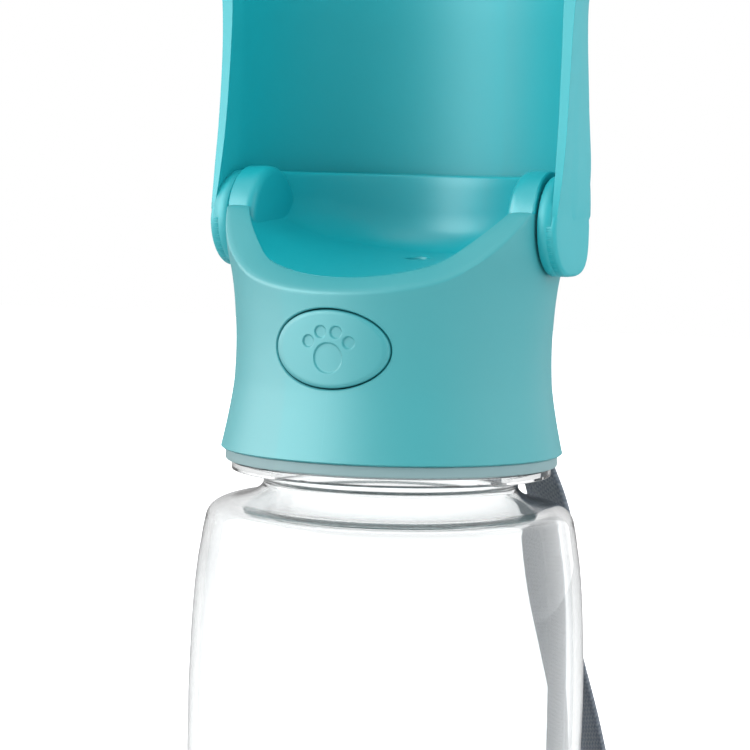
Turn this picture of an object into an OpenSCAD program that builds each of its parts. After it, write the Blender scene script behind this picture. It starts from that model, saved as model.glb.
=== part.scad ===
// Dog travel water bottle: a clear bottle, a head with a push-button valve and a
// drinking dish, and a trough that folds down over the front of the bottle.
// Millimetres, Z up. The origin is the middle of the bottle's base, the button faces -Y,
// and the trough stands open, as it does when the dog drinks.

/* [Bottle] */
// Outer radius of the bottle's body
bottle_r = 40; // [38.5:0.5:42]
// Wall of the bottle
bottle_wall = 1.9; // [1.4:0.1:2.6]
// Thickness of the base
base_wall = 3; // [2:0.5:5]
// Radius of the rounded edge of the base
base_round = 5; // [3:0.5:8]
// Height of the straight part of the body
body_h = 90; // [60:1:120]
// Height over which the body draws in towards the shoulder
taper_h = 30; // [22:1:36]
// Outer radius where the shoulder starts
shoulder_r = 38; // [36.5:0.5:39]
// Height of the domed shoulder
shoulder_h = 9.1; // [7:0.1:12]
// Outer radius where the shoulder's dome turns up into the neck
crown_r = 32; // [30:0.5:34]
// Height of the hollow curve between shoulder and neck
hollow_h = 2.7; // [2:0.1:4]
// Outer radius of the neck under the flange
neck_r = 25.7; // [25.2:0.1:26.5]
// Height of the neck from that curve to the flange
neck_h = 2.7; // [2:0.1:5]
// Outer radius of the neck's flange
flange_r = 32.15; // [31.8:0.05:33]
// Thickness of the neck's flange
flange_h = 1.7; // [1.2:0.1:2.5]
// Height of the threaded part of the neck above the flange
finish_h = 12.6; // [11:0.2:16]
// Radius of the mouth
mouth_r = 24.2; // [23.6:0.1:24.4]

/* [Screw thread] */
// Root radius of the bottle's thread
thread_r = 25.9; // [25.6:0.1:26.2]
// Height of the thread's ridge
thread_d = 1.05; // [0.8:0.05:1.2]
// Rise of the thread for each turn
pitch = 4; // [3.6:0.2:5]
// Turns of thread
turns = 1.75; // [1.25:0.25:2]
// Clearance between the thread's crests and roots
thread_gap = 0.25; // [0.2:0.05:0.35]

/* [Head] */
// Outer radius of the head's lower edge
foot_r = 34.45; // [34:0.05:36]
// Outer radius of the waist
waist_r = 31.7; // [31.5:0.05:32.5]
// Height of the waist below the hinge's axis
waist_drop = 26; // [22:0.5:30]
// Outer radius of the head's top
top_r = 34.4; // [34.2:0.05:34.6]
// Wall of the head's shell at the waist
head_wall = 1.8; // [1.4:0.1:2.2]
// Height of the seam between shell and dish above the hinge's axis
seam_h = 2.5; // [2:0.1:4]
// Outer radius of the grey threaded liner
liner_r = 30.3; // [30.1:0.05:30.5]
// Outer radius of the liner's lip, which shows under the shell
lip_r = 33.4; // [32:0.1:34]
// Height of the liner's lip
lip_h = 2.2; // [1.6:0.1:3]
// Thickness of the liner's top plate
plate_t = 2; // [1.6:0.1:3]
// Thickness of the mouth gasket
gasket_t = 1.2; // [0.8:0.1:2]
// How far the gasket reaches over the mouth's inner edge
gasket_lap = 0.5; // [0:0.1:1]
// Clearance between fixed pieces
fit_gap = 0.05; // [0.02:0.01:0.1]

/* [Dish] */
// Inner radius of the dish
dish_r = 28.3; // [27:0.1:28.6]
// Height of the dish's rear rim above the hinge's axis
rim_h = 9.7; // [8:0.1:11]
// Outer radius of the rear rim
rim_r = 31.6; // [31:0.1:33]
// Half the width of the saddle
saddle_w = 28; // [26:0.1:28]
// Depth of the saddle from its widest level
saddle_d = 11; // [9:0.1:12.5]
// Height of the saddle's widest level above the hinge's axis
saddle_z = 2.7; // [2:0.1:4]
// Rise of the dish's floor from front to back
floor_slope = 4.5; // [2:0.5:6]
// Thickness of the dish's floor
floor_t = 2; // [1.6:0.1:2.4]
// Radius of the hole where the water comes out
outlet_r = 2.5; // [1.5:0.1:3]
// Distance of that hole behind the middle
outlet_y = 11.5; // [9:0.5:13]

/* [Hinge] */
// Radius of the round housings of the hinge
drum_r = 10.7; // [10:0.1:11]
// Distance of a housing's inner face from the middle
drum_in = 27; // [26.5:0.1:27.5]
// How far a housing's outer face lies inside the head's top
drum_inset = 1.6; // [1.1:0.1:1.8]
// Radius of the trough's round bosses
boss_r = 9.8; // [8:0.05:10]
// Clearance round a boss in its recess
boss_gap = 0.65; // [0.3:0.05:1]
// How far an ear's outer face stands proud of the trough's side
ear_proud = 0.2; // [0:0.1:0.8]
// Distance of an ear's front edge from the hinge's axis
ear_front = 9.9; // [9:0.1:10.5]
// Distance of its rear edge from the hinge's axis
ear_rear = 10.5; // [9.5:0.1:11]
// Radius of the stub shafts
shaft_r = 4; // [3:0.1:5]
// Clearance of a shaft in its bore
shaft_gap = 0.05; // [0.02:0.01:0.08]
// Thickness of a friction washer
washer_t = 0.5; // [0.3:0.1:0.8]
// Outer radius of a friction washer
washer_r = 8.6; // [6:0.1:9]

/* [Trough] */
// Length of the trough above the hinge's axis
trough_h = 150; // [135:1:160]
// Wall of the trough
trough_wall = 1.95; // [1.6:0.05:2.4]
// Extra thickness of its rim
rim_extra = 1.8; // [0.5:0.1:2.2]
// Clearance between the folded trough and the head
head_gap = 0.6; // [0.5:0.1:1]
// Clearance between the folded trough and the bottle
body_gap = 0.9; // [0.7:0.1:1.5]
// Extra depth of the trough's basin
basin_d = 2.3; // [0:0.1:4]
// Height of the trough's lower edge above the hinge's axis
trough_low = 2; // [1:0.5:4]

/* [Button and valve] */
// Width of the button
button_w = 23.5; // [20:0.5:25]
// Height of the button
button_h = 15; // [13:0.5:15]
// Height of the button's middle below the hinge's axis
button_drop = 24.1; // [23:0.1:27]
// How far the button stands proud of the waist
button_proud = 0.5; // [0.3:0.1:1]
// Clearance round the button
button_gap = 0.3; // [0.2:0.05:0.4]
// Wall of the button
button_wall = 1.6; // [1.2:0.1:2]
// Depth of the button from front to back
button_d = 10; // [9:0.5:11]
// Depth of the engraved paw
engrave_d = 0.35; // [0.2:0.05:0.5]
// Radius of the paw's pad
pad_r = 2.9; // [2:0.1:3.2]
// Radius of each toe
toe_r = 1.15; // [0.8:0.05:1.3]
// Distance of the toes from the pad's middle
toe_reach = 5.2; // [4.4:0.1:5.4]
// Radius of the valve stem
stem_r = 1.6; // [1.4:0.1:1.8]
// Radius of the hole in the valve seat
seat_r = 3; // [2.6:0.1:3.2]
// Outer radius of the valve housing
housing_r = 7; // [6.6:0.1:7.2]
// Radius of the valve chamber
chamber_r = 5; // [4.8:0.1:5.2]
// Radius of the water ports
port_r = 2.5; // [2:0.1:2.7]
// Outer radius of the spigots round the ports
spigot_r = 4; // [3.6:0.1:4.2]
// Radius of the spring's wire
wire_r = 0.3; // [0.2:0.05:0.35]
// Mean radius of the spring
spring_r = 2.9; // [2.6:0.1:3.2]
// Curls of the spring
curls = 4.5; // [3.5:0.5:5]

/* [Carry strap] */
// Width of the webbing
strap_w = 10; // [8:0.5:12]
// Thickness of the webbing
strap_t = 1.2; // [0.8:0.1:1.4]

/* [Hidden] */
$fn = 96;
eps = 0.01;
far = 60;

// Levels of the bottle, from the base up
shoulder_z = body_h + taper_h;
crown_z = shoulder_z + shoulder_h;
neck_z = crown_z + hollow_h;
flange_z = neck_z + neck_h;
finish_z = flange_z + flange_h;
mouth_z = finish_z + finish_h;
crest_r = thread_r + thread_d;
thread_start = 2.8;
thread_z = finish_z + thread_start;
crown_in = 1;

// Levels of the head, from the mouth up
liner_under = mouth_z + gasket_t;
liner_top = liner_under + plate_t;
lip_lift = 0.3;
lip_z = finish_z + lip_lift;
head_z = lip_z + lip_h;
inlet_gasket_t = 1.45;
button_z = liner_top + inlet_gasket_t + fit_gap + housing_r;
hinge_z = button_z + button_drop;
waist_z = hinge_z - waist_drop;
seam_z = hinge_z + seam_h;
head_bore = waist_r - head_wall;
liner_root = crest_r + thread_gap;
liner_crest = thread_r + thread_gap;
saddle_mid = hinge_z + saddle_z;

// The outer edge of the saddle's bevel, on the shell
bevel_r = 32.6;
bevel_w = 32;
bevel_d = 18.3;
bevel_z = hinge_z + 5;
bevel_power = 2.4;
bevel_end = 80;
bevel_step = 5;
cut_over = 4;

// Hinge
recess_r = boss_r + boss_gap;
drum_out = top_r - drum_inset;
boss_in = drum_out + washer_t;
shaft_in = drum_in + 1.6;
bore_end = 0.3;
trough_r = max(foot_r, top_r) + head_gap;
ear_in = trough_r - 0.1;
ear_out = trough_r + trough_wall + ear_proud;
ear_rise = 4;
front_power = 2.3;
rear_power = 3.5;
cheek_angle = atan(ear_rear / ear_out);
cheek_fade = 7;
cheek_top = 44;
trough_body_r = bottle_r + body_gap;

// Valve, whose parts lie along Y behind the button
button_r = waist_r + button_proud;
button_back = button_d - button_r;
stem_front = 2 * button_wall - button_r;
pad_drop = 1.7;
valve_front = -12;
gland_d = 3;
gland_r = 3.4;
retainer_t = 0.8;
guide_t = 2;
chamber_front = valve_front + gland_d + guide_t;
front_bore = 4;
seat_y = outlet_y + port_r + 0.3;
seat_t = 1.4;
plug_y = seat_y + seat_t;
plug_r = 4.3;
plug_t = 2;
disc_r = 3.6;
disc_t = 1;
spring_y = plug_y + plug_t + disc_t;
spring_end = 25;
valve_back = 27.5;
cap_flange_t = 1.2;
stem_gap = 0.1;
socket_depth = 4;
socket_wall = 1.6;
tab_w = 3.2;
tab_x = button_w / 2 + 0.7;
tab_back = 1.4;
tab_h = 6;
tab_t = 1.6;
ear_x = 11;
ear_root = 4;
ear_y = 2;
ear_t = 2;
ear_r = 3.6;
ear_top = button_z + 4;
screw_r = 1.4;
screw_head_r = 2.6;
screw_head_t = 1.8;
screw_in = 6;
floor_z = saddle_mid - saddle_d;
outlet_floor = floor_z + outlet_y * tan(floor_slope);
socket_roof = outlet_floor - floor_t - 0.2;
outlet_gasket_t = 1.4;
inlet_end = liner_under - 0.4;
inlet_y = mouth_r - gasket_lap - spigot_r - 0.2;

// Strap lug on the back of the shell
lug_az = 72;
lug_out = 38;
lug_half = 6.2;
lug_top = 27.6;
lug_low = 18;

// The strap's middle line: distance from the bottle's axis, angle from +X towards +Y, height,
// drawn for a lug whose underside is at route_h
route_h = 157;
strap_gap = 0.6;
strap_route = [
    [34.5, 72, 157], [34.8, 70, 151], [35.5, 66, 145], [36.4, 61, 139], [37.4, 56, 133],
    [38.7, 51.5, 127], [39.9, 48.5, 120], [41, 46.5, 110], [41.6, 46, 98], [41.8, 46, 84],
    [41.8, 46, 66], [41.8, 46, 48], [42.2, 46.5, 34], [44.2, 47, 24], [48.2, 47.5, 19.5],
    [52.5, 48, 22.5], [54.6, 48.5, 32], [54.4, 49, 46], [52.8, 51, 62], [50.4, 54.5, 78],
    [47.6, 59, 93], [45, 62, 106], [43, 62.5, 117], [41, 61, 127], [38.9, 62, 134],
    [38.1, 64, 140.5], [37, 68.5, 147], [36.5, 71.2, 152.5], [36.4, 72, 157]];

function smooth(t) = let (u = min(max(t, 0), 1)) u * u * (3 - 2 * u);
function bezier(a, b, c, n) = [for (i = [0:n]) let (t = i / n)
    (1 - t) * (1 - t) * a + 2 * t * (1 - t) * b + t * t * c];
function ellipse(a, b, n = 48) =
    [for (i = [0:n - 1]) [a * cos(360 * i / n), b * sin(360 * i / n)]];
function polar(r, a, z) = [r * cos(a), r * sin(a), z];

module along_x() {
    rotate([0, 90, 0]) children();
}

module along_y() {
    rotate([-90, 0, 0]) children();
}

module ring(outer, inner, z0, z1) {
    difference() {
        translate([0, 0, z0]) cylinder(h = z1 - z0, r = outer);
        translate([0, 0, z0 - 1]) cylinder(h = z1 - z0 + 2, r = inner);
    }
}

// A closed solid from rings of points that all have the same count, clockwise when looked
// at against the way the rings follow each other. An end is closed between point i and
// point n - 1 - i, so a ring can bend round a hollow.
module skin(rings) {
    n = len(rings[0]);
    m = len(rings);
    points = [for (r = rings) for (p = r) p];
    sides = [for (j = [0:m - 2]) for (i = [0:n - 1]) let (k = (i + 1) % n) for (f =
        [[j * n + i, j * n + k, (j + 1) * n + k], [j * n + i, (j + 1) * n + k, (j + 1) * n + i]]) f];
    low = [for (i = [0:ceil(n / 2) - 2]) for (f = [[i, n - 1 - i, i + 1], [i + 1, n - 1 - i, n - 2 - i]])
        if (f[0] != f[2]) f];
    high = [for (f = low) [f[0], f[2], f[1]] + (m - 1) * n * [1, 1, 1]];
    polyhedron(points = points, faces = concat(low, sides, high), convexity = 6);
}

// A right-hand ridge whose section has its root at r0 and its crest at r1
module ridge(r0, r1, z0, start) {
    root = 1.25;
    crest = 0.65;
    steps = 36;
    count = floor(turns * steps);
    out = r1 > r0;
    skin([for (i = [0:count]) let (a = start + 360 * i / steps, z = z0 + pitch * i / steps)
        out ? [polar(r1, a, z - crest), polar(r1, a, z + crest), polar(r0, a, z + root),
            polar(r0, a, z - root)]
        : [polar(r1, a, z + crest), polar(r1, a, z - crest), polar(r0, a, z - root),
            polar(r0, a, z + root)]]);
}

// Bottle

function outside_of_bottle() = concat(
    [[0, 0], [bottle_r - base_round, 0]],
    bezier([bottle_r - base_round, 0], [bottle_r, 0], [bottle_r, base_round], 6),
    bezier([bottle_r, body_h], [bottle_r - 0.4, shoulder_z - 8], [shoulder_r, shoulder_z], 8),
    bezier([shoulder_r, shoulder_z], [shoulder_r - 0.4, crown_z - 0.9], [crown_r, crown_z], 8),
    bezier([crown_r, crown_z], [neck_r + 0.9, crown_z + 0.9], [neck_r, neck_z], 6),
    [[neck_r, flange_z], [flange_r, flange_z], [flange_r, finish_z], [thread_r, finish_z],
        [thread_r, mouth_z]]);

function inside_of_bottle() = concat(
    [[mouth_r, mouth_z], [mouth_r, neck_z]],
    bezier([mouth_r, neck_z], [mouth_r + 0.4, crown_z - 1.5], [crown_r - crown_in, crown_z - bottle_wall], 6),
    bezier([crown_r - crown_in, crown_z - bottle_wall],
        [shoulder_r - bottle_wall - 0.4, crown_z - bottle_wall - 0.7],
        [shoulder_r - bottle_wall, shoulder_z], 8),
    [[bottle_r - bottle_wall, body_h], [bottle_r - bottle_wall, base_round + base_wall]],
    bezier([bottle_r - bottle_wall, base_round + base_wall], [bottle_r - bottle_wall, base_wall],
        [bottle_r - bottle_wall - base_round, base_wall], 6),
    [[0, base_wall]]);

module bottle() {
    color([0.85, 0.93, 0.94, 0.5]) union() {
        rotate_extrude() polygon(concat(outside_of_bottle(), inside_of_bottle()));
        ridge(thread_r - 0.3, crest_r, thread_z, 7);
    }
}

// Liner and gasket

module threaded_liner() {
    color([0.6, 0.68, 0.69]) union() {
        difference() {
            union() {
                translate([0, 0, lip_z]) cylinder(h = liner_top - lip_z, r = liner_r);
                translate([0, 0, lip_z]) cylinder(h = lip_h, r = lip_r);
            }
            translate([0, 0, lip_z - 1]) cylinder(h = liner_under - lip_z + 1, r = liner_root);
            translate([0, inlet_y, liner_under - 1])
                cylinder(h = plate_t + 2, r = spigot_r + fit_gap);
        }
        ridge(liner_root + 0.3, liner_crest, thread_z + pitch / 2, 7);
    }
}

module mouth_gasket() {
    color([0.9, 0.92, 0.92]) ring(thread_r - fit_gap, mouth_r - gasket_lap, mouth_z, liner_under);
}

// Shell of the head

function shell_radius(z) = z < waist_z
    ? waist_r + (foot_r - waist_r) * pow((waist_z - z) / (waist_z - head_z), 1.85)
    : waist_r + (top_r - waist_r) * pow(min((z - waist_z) / (hinge_z - 2 - waist_z), 1), 2);

function saddle_edge(x, w, d, mid, power) =
    mid - d * pow(max(1 - pow(min(abs(x) / w, 1), power), 0), 1 / power);

// Everything above the saddle's bevelled rim, in front. Each ring is a slice from the axis
// outwards, whose lower edge is the bevel carried on inwards and outwards.
module saddle_cut() {
    inner = dish_r - 1;
    outer = top_r + cut_over;
    slope = tan(floor_slope);
    skin([for (a = [-bevel_end:bevel_step:bevel_end])
        let (x = dish_r * sin(a),
            zi = saddle_edge(x, saddle_w, saddle_d, saddle_mid, 2) - dish_r * cos(a) * slope,
            zo = saddle_edge(bevel_r * sin(a), bevel_w, bevel_d, bevel_z, bevel_power),
            fall = (zo - zi) / (bevel_r - dish_r))
        [polar(inner, a - 90, zi + fall * (inner - dish_r)),
            polar(outer, a - 90, zi + fall * (outer - dish_r)),
            polar(outer, a - 90, hinge_z + far / 2), polar(inner, a - 90, hinge_z + far / 2)]]);
}

module button_outline(grow, y0, y1) {
    translate([0, y0, button_z]) along_y() linear_extrude(y1 - y0)
        polygon(ellipse(button_w / 2 + grow, button_h / 2 + grow));
}

module shaft_bores() {
    for (side = [-1, 1]) {
        translate([side > 0 ? shaft_in - bore_end : -far, 0, hinge_z]) along_x()
            cylinder(h = far - shaft_in + bore_end, r = shaft_r + shaft_gap);
        translate([side > 0 ? drum_out : -far, 0, hinge_z]) along_x()
            cylinder(h = far - drum_out, r = recess_r);
    }
}

module strap_lug() {
    rotate([0, 0, lug_az]) translate([head_bore + 0.5, -lug_half, hinge_z - lug_top])
        cube([lug_out - head_bore - 0.5, 2 * lug_half, lug_top - lug_low]);
}

module head_shell() {
    steps = 22;
    levels = [for (i = [0:steps]) head_z + (seam_z - head_z) * i / steps];
    color([0.37, 0.75, 0.78]) difference() {
        union() {
            rotate_extrude() polygon(concat(
                [[liner_r + fit_gap, head_z]],
                [for (z = levels) [shell_radius(z), z]],
                [[head_bore, seam_z], [head_bore, liner_top], [liner_r + fit_gap, liner_top]]));
            strap_lug();
        }
        saddle_cut();
        shaft_bores();
        button_outline(button_gap, -far, -head_bore / 2);
    }
}

// Dish with the hinge's housings

function dish_section(grow) = concat(
    [[saddle_w + grow, far / 2], [saddle_w + grow, 0]],
    [for (i = [1:23]) let (a = -180 * i / 24) [(saddle_w + grow) * cos(a), (saddle_d + grow) * sin(a)]],
    [[-saddle_w - grow, 0], [-saddle_w - grow, far / 2]]);

module dish_hollow(grow) {
    translate([0, 0, saddle_mid]) rotate([90 + floor_slope, 0, 0]) translate([0, 0, -far])
        linear_extrude(2 * far) polygon(dish_section(grow));
}

function rear_wall_profile() = concat(
    [[dish_r - 1, seam_z], [top_r - 0.1, seam_z]],
    bezier([top_r - 0.1, seam_z], [top_r - 0.6, seam_z + 5], [rim_r, hinge_z + rim_h], 6),
    [[dish_r - 1, hinge_z + rim_h]]);

module drums() {
    for (side = [-1, 1]) {
        intersection() {
            translate([side > 0 ? drum_in : -drum_out, 0, hinge_z]) along_x()
                cylinder(h = drum_out - drum_in, r = drum_r);
            union() {
                translate([0, 0, seam_z - far]) cylinder(h = far, r = head_bore - fit_gap);
                translate([-far, -far, seam_z]) cube([2 * far, 2 * far, far]);
            }
        }
    }
}

module dish_bowl() {
    difference() {
        union() {
            ring(head_bore - fit_gap, dish_r, floor_z - floor_t - 2, seam_z);
            intersection() {
                translate([0, 0, floor_z - far / 2]) cylinder(h = far, r = head_bore - fit_gap);
                difference() {
                    dish_hollow(floor_t);
                    translate([-far, -far, seam_z]) cube([2 * far, 2 * far, far]);
                }
            }
        }
        saddle_cut();
        intersection() {
            dish_hollow(0);
            translate([0, 0, floor_z - far / 2]) cylinder(h = far, r = dish_r);
        }
    }
}

module dish() {
    color([0.42, 0.79, 0.82]) difference() {
        union() {
            dish_bowl();
            intersection() {
                rotate_extrude() polygon(rear_wall_profile());
                translate([-far, 0, seam_z - 1]) cube([2 * far, far, far]);
            }
            drums();
            translate([0, outlet_y, socket_roof - socket_depth])
                cylinder(h = outlet_floor - socket_roof + socket_depth - 0.5, r = spigot_r + socket_wall);
            for (side = [-1, 1]) {
                translate([side * ear_x, ear_y, ear_top])
                    cylinder(h = floor_z - ear_top - 0.5, r = ear_r - 0.6);
            }
        }
        intersection() {
            dish_hollow(0);
            translate([0, 0, seam_z - 1]) cylinder(h = far, r = dish_r);
            translate([-drum_in, -far, 0]) cube([2 * drum_in, 2 * far, 4 * far]);
        }
        shaft_bores();
        translate([0, outlet_y, socket_roof - far]) cylinder(h = far, r = spigot_r + fit_gap);
        translate([0, outlet_y, socket_roof - 1]) cylinder(h = far, r = outlet_r);
        for (side = [-1, 1]) {
            translate([side * ear_x, ear_y, ear_top - 1]) cylinder(h = screw_in + 1.5, r = screw_r);
        }
    }
}

// Trough

stations = [2, 6, 10, 15, 20, 26, 32, 38, 44, 48, 52, 56, 60, 64, 68, 72, 77, 84, 92, 100, 108,
    116, 123, 129, 134, 138.5, 142.5, 145.5, 148, 150];
front_edge = [[2, -9.2], [9, -7.6], [19, -5.9], [33, -4.7], [44, -4.3], [98, -4.3], [108, -3.2],
    [116, -1], [123, 2.5], [129, 7], [134, 12], [138.5, 17.5], [142.5, 23.5], [145.5, 29], [148, 34.5],
    [150, 38.4]];
rim_share = [[2, 0.1], [12, 0.3], [34, 0.4], [46, 0.7], [60, 1], [110, 1], [150, 0.3]];

function trough_radius(s) = trough_r
    + (trough_body_r - trough_r) * smooth((s - 42) / 34)
    + basin_d * (smooth((s - 80) / 45) - smooth((s - 128) / 22));

function rim_width(s) = rim_extra * lookup(s, rim_share);

// Distance of the inner and the outer wall from the middle at an angle from the side,
// straight in front of the hinge and round behind it
function trough_inner(s, a) = a < 0 ? trough_radius(s) * (1 - 0.0023 * a) / cos(a) : trough_radius(s);
function trough_outer(s, a) = let (r = trough_radius(s) + trough_wall)
    a < 0 ? (r + rim_width(s) * (0.6 - 0.04 * a)) / cos(a)
    : r + rim_width(s) * 0.6 * pow(max(1 - a / 20, 0), 2) + cheek(s, a);

// How far the flat cheek above an ear stands out of the round wall
function cheek(s, a) = (ear_out / cos(min(a, cheek_angle)) - trough_r - trough_wall)
    * (1 - smooth((a - cheek_angle) / cheek_fade)) * (1 - smooth((s - ear_rise) / (cheek_top - ear_rise)));

// The angle from the side at which a wall at radius r ends in the front edge
function edge_angle(s, r) = let (y = lookup(s, front_edge))
    y < 0 ? atan(y / r) : asin(min(y / r, 0.99));
function inner_point(s, a, z) = polar(trough_inner(s, min(a, 180 - a)), a, z);
function outer_point(s, a, z) = polar(trough_outer(s, min(a, 180 - a)), a, z);

function trough_ring(s) = let (n = 26, z = hinge_z + trough_low + (s - 2) * (trough_h - trough_low) / 148,
        ai = edge_angle(s, trough_inner(s, 0)), ao = edge_angle(s, trough_outer(s, 0)))
    concat([for (i = [0:n]) inner_point(s, ai + (180 - 2 * ai) * i / n, z)],
        [for (i = [n:-1:0]) outer_point(s, ao + (180 - 2 * ao) * i / n, z)]);

// The ear's outline seen from the side, with its height pointing down
function ear_corner(w, power) = [for (i = [0:12]) let (t = 90 * i / 12)
    [boss_r * pow(sin(t), 2 / power), w * pow(cos(t), 2 / power)]];
function ear_outline() = let (rear = ear_corner(ear_rear, rear_power))
    concat(ear_corner(-ear_front, front_power), [for (i = [11:-1:0]) rear[i]],
        [[-ear_rise, ear_rear - 0.7], [-ear_rise, 1.1 - ear_front], [-ear_rise / 2, 0.8 - ear_front]]);

module trough() {
    color([0.35, 0.74, 0.77]) union() {
        skin([for (s = stations) trough_ring(s)]);
        for (side = [-1, 1]) {
            translate([side > 0 ? boss_in : -ear_out + 1, 0, hinge_z]) along_x()
                cylinder(h = ear_out - boss_in - 1, r = boss_r);
            translate([side > 0 ? ear_in : -ear_out, 0, hinge_z]) along_x()
                linear_extrude(ear_out - ear_in) polygon(ear_outline());
            translate([side > 0 ? shaft_in : -ear_out + 1, 0, hinge_z]) along_x()
                cylinder(h = ear_out - shaft_in - 1, r = shaft_r);
        }
    }
}

module friction_washer(side) {
    color([0.25, 0.27, 0.28]) translate([side > 0 ? drum_out : -boss_in, 0, hinge_z]) along_x()
        ring(washer_r, shaft_r + 2 * shaft_gap, 0, washer_t);
}

// Button and valve

module paw_outline() {
    translate([0, button_z - pad_drop]) {
        circle(r = pad_r);
        for (a = [-54, -18, 18, 54]) {
            translate([toe_reach * sin(a), toe_reach * cos(a)]) circle(r = toe_r);
        }
    }
}

module button() {
    color([0.45, 0.81, 0.84]) difference() {
        union() {
            intersection() {
                difference() {
                    button_outline(0, -far, button_back);
                    button_outline(-button_wall, button_wall - button_r, far);
                }
                cylinder(h = 4 * far, r = button_r);
            }
            translate([0, -button_r + button_wall / 2, button_z]) along_y()
                cylinder(h = button_d - button_wall, r = stem_r + socket_wall);
            for (side = [-1, 1]) {
                translate([side * tab_x - tab_w / 2, button_back - tab_t - tab_back, button_z - tab_h / 2])
                    cube([tab_w, tab_t, tab_h]);
            }
        }
        translate([0, stem_front, button_z]) along_y() cylinder(h = far, r = stem_r + fit_gap);
        intersection() {
            ring(button_r + 2, button_r - engrave_d, 0, 4 * far);
            rotate([90, 0, 0]) linear_extrude(far) paw_outline();
        }
    }
}

module valve_stem() {
    color([0.85, 0.86, 0.85]) translate([0, 0, button_z]) along_y() union() {
        translate([0, 0, stem_front]) cylinder(h = spring_y - stem_front, r = stem_r);
        translate([0, 0, plug_y + plug_t]) cylinder(h = disc_t, r = disc_r);
        translate([0, 0, spring_y - eps]) cylinder(h = 1.6, r = spring_r - wire_r - 0.3);
    }
}

module valve_plug() {
    color([0.93, 0.94, 0.93]) translate([0, 0, button_z]) along_y()
        ring(plug_r, stem_r, plug_y, plug_y + plug_t);
}

module valve_housing() {
    color([0.93, 0.94, 0.95]) difference() {
        union() {
            translate([0, valve_front, button_z]) along_y()
                cylinder(h = valve_back - valve_front, r = housing_r);
            translate([0, outlet_y, button_z])
                cylinder(h = socket_roof - outlet_gasket_t - button_z, r = spigot_r);
            translate([0, inlet_y, inlet_end]) cylinder(h = button_z - inlet_end, r = spigot_r);
            for (side = [-1, 1]) {
                hull() {
                    for (x = [ear_x, ear_root])
                        translate([side * x, ear_y, ear_top - ear_t])
                            cylinder(h = ear_t, r = ear_r, $fn = 32);
                }
            }
        }
        translate([0, 0, button_z]) along_y() {
            translate([0, 0, valve_front - 1]) cylinder(h = gland_d + 1, r = gland_r);
            translate([0, 0, valve_front]) cylinder(h = far, r = stem_r + stem_gap);
            translate([0, 0, chamber_front]) cylinder(h = seat_y - chamber_front, r = front_bore);
            translate([0, 0, seat_y - 1]) cylinder(h = far, r = seat_r);
            translate([0, 0, plug_y]) cylinder(h = far, r = chamber_r);
        }
        translate([0, outlet_y, button_z]) cylinder(h = far, r = port_r);
        translate([0, inlet_y, button_z - far]) cylinder(h = far, r = port_r);
        for (side = [-1, 1]) {
            translate([side * ear_x, ear_y, ear_top - ear_t - 1])
                cylinder(h = ear_t + 2, r = screw_r + 0.2);
        }
    }
}

module valve_cap() {
    color([0.9, 0.91, 0.92]) translate([0, 0, button_z]) along_y() union() {
        translate([0, 0, spring_end]) cylinder(h = valve_back - spring_end, r = chamber_r - 1);
        translate([0, 0, valve_back]) cylinder(h = cap_flange_t, r = housing_r - 0.3);
    }
}

module cap_seal() {
    color([0.2, 0.21, 0.22]) translate([0, 0, button_z]) along_y()
        ring(chamber_r, chamber_r - 1, spring_end + 0.5, valve_back);
}

module stem_seal() {
    color([0.2, 0.21, 0.22]) translate([0, 0, button_z]) along_y()
        ring(gland_r, stem_r + fit_gap, valve_front + retainer_t, valve_front + gland_d);
}

module seal_retainer() {
    color([0.8, 0.82, 0.83]) translate([0, 0, button_z]) along_y()
        ring(gland_r, stem_r + 2 * stem_gap, valve_front, valve_front + retainer_t);
}

module return_spring() {
    steps = 8;
    count = floor(curls * steps);
    length = spring_end - spring_y - 2 * wire_r - 0.1;
    centre = [for (i = [0:count]) let (a = 360 * i / steps) [spring_r * cos(a), spring_r * sin(a),
        spring_y + wire_r + 0.05 + length * i / count]];
    echo(least_gap_in_spring = length / curls - 2 * wire_r);
    color([0.75, 0.76, 0.77]) translate([0, 0, button_z]) along_y()
        skin([for (i = [0:count]) let (a = 360 * i / steps) [for (k = [0:5]) let (b = 60 * k)
            centre[i] + wire_r * [cos(a) * cos(b), sin(a) * cos(b), sin(b)]]]);
}

module outlet_gasket() {
    color([0.93, 0.94, 0.93]) translate([0, outlet_y, 0])
        ring(spigot_r, port_r, socket_roof - outlet_gasket_t, socket_roof);
}

module inlet_gasket() {
    color([0.93, 0.94, 0.93]) translate([0, inlet_y, 0])
        ring(spigot_r + socket_wall, spigot_r + fit_gap, liner_top, liner_top + inlet_gasket_t);
}

module valve_screws() {
    for (side = [-1, 1]) {
        color([0.7, 0.71, 0.72]) translate([side * ear_x, ear_y, ear_top - ear_t]) difference() {
            union() {
                translate([0, 0, -screw_head_t]) cylinder(h = screw_head_t, r = screw_head_r);
                translate([0, 0, -eps]) cylinder(h = ear_t + screw_in, r = screw_r);
            }
            translate([-0.4, -screw_head_r, -screw_head_t - 1]) cube([0.8, 2 * screw_head_r, 1.8]);
            translate([-screw_head_r, -0.4, -screw_head_t - 1]) cube([2 * screw_head_r, 0.8, 1.8]);
        }
    }
}

// Carry strap, a flat band whose width lies along the bottle's round

function unit(v) = v / norm(v);
function body_radius(z) =
    lookup(z, [for (p = outside_of_bottle()) if (p[1] >= base_round && p[1] <= crown_z) [p[1], p[0]]]);
function strap_points() = [for (p = strap_route) let (z = p[2] * (hinge_z - lug_top) / route_h)
    polar(max(p[0], z > crown_z ? 0 : body_radius(z) + strap_t / 2 + strap_gap), p[1], z)];

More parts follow.
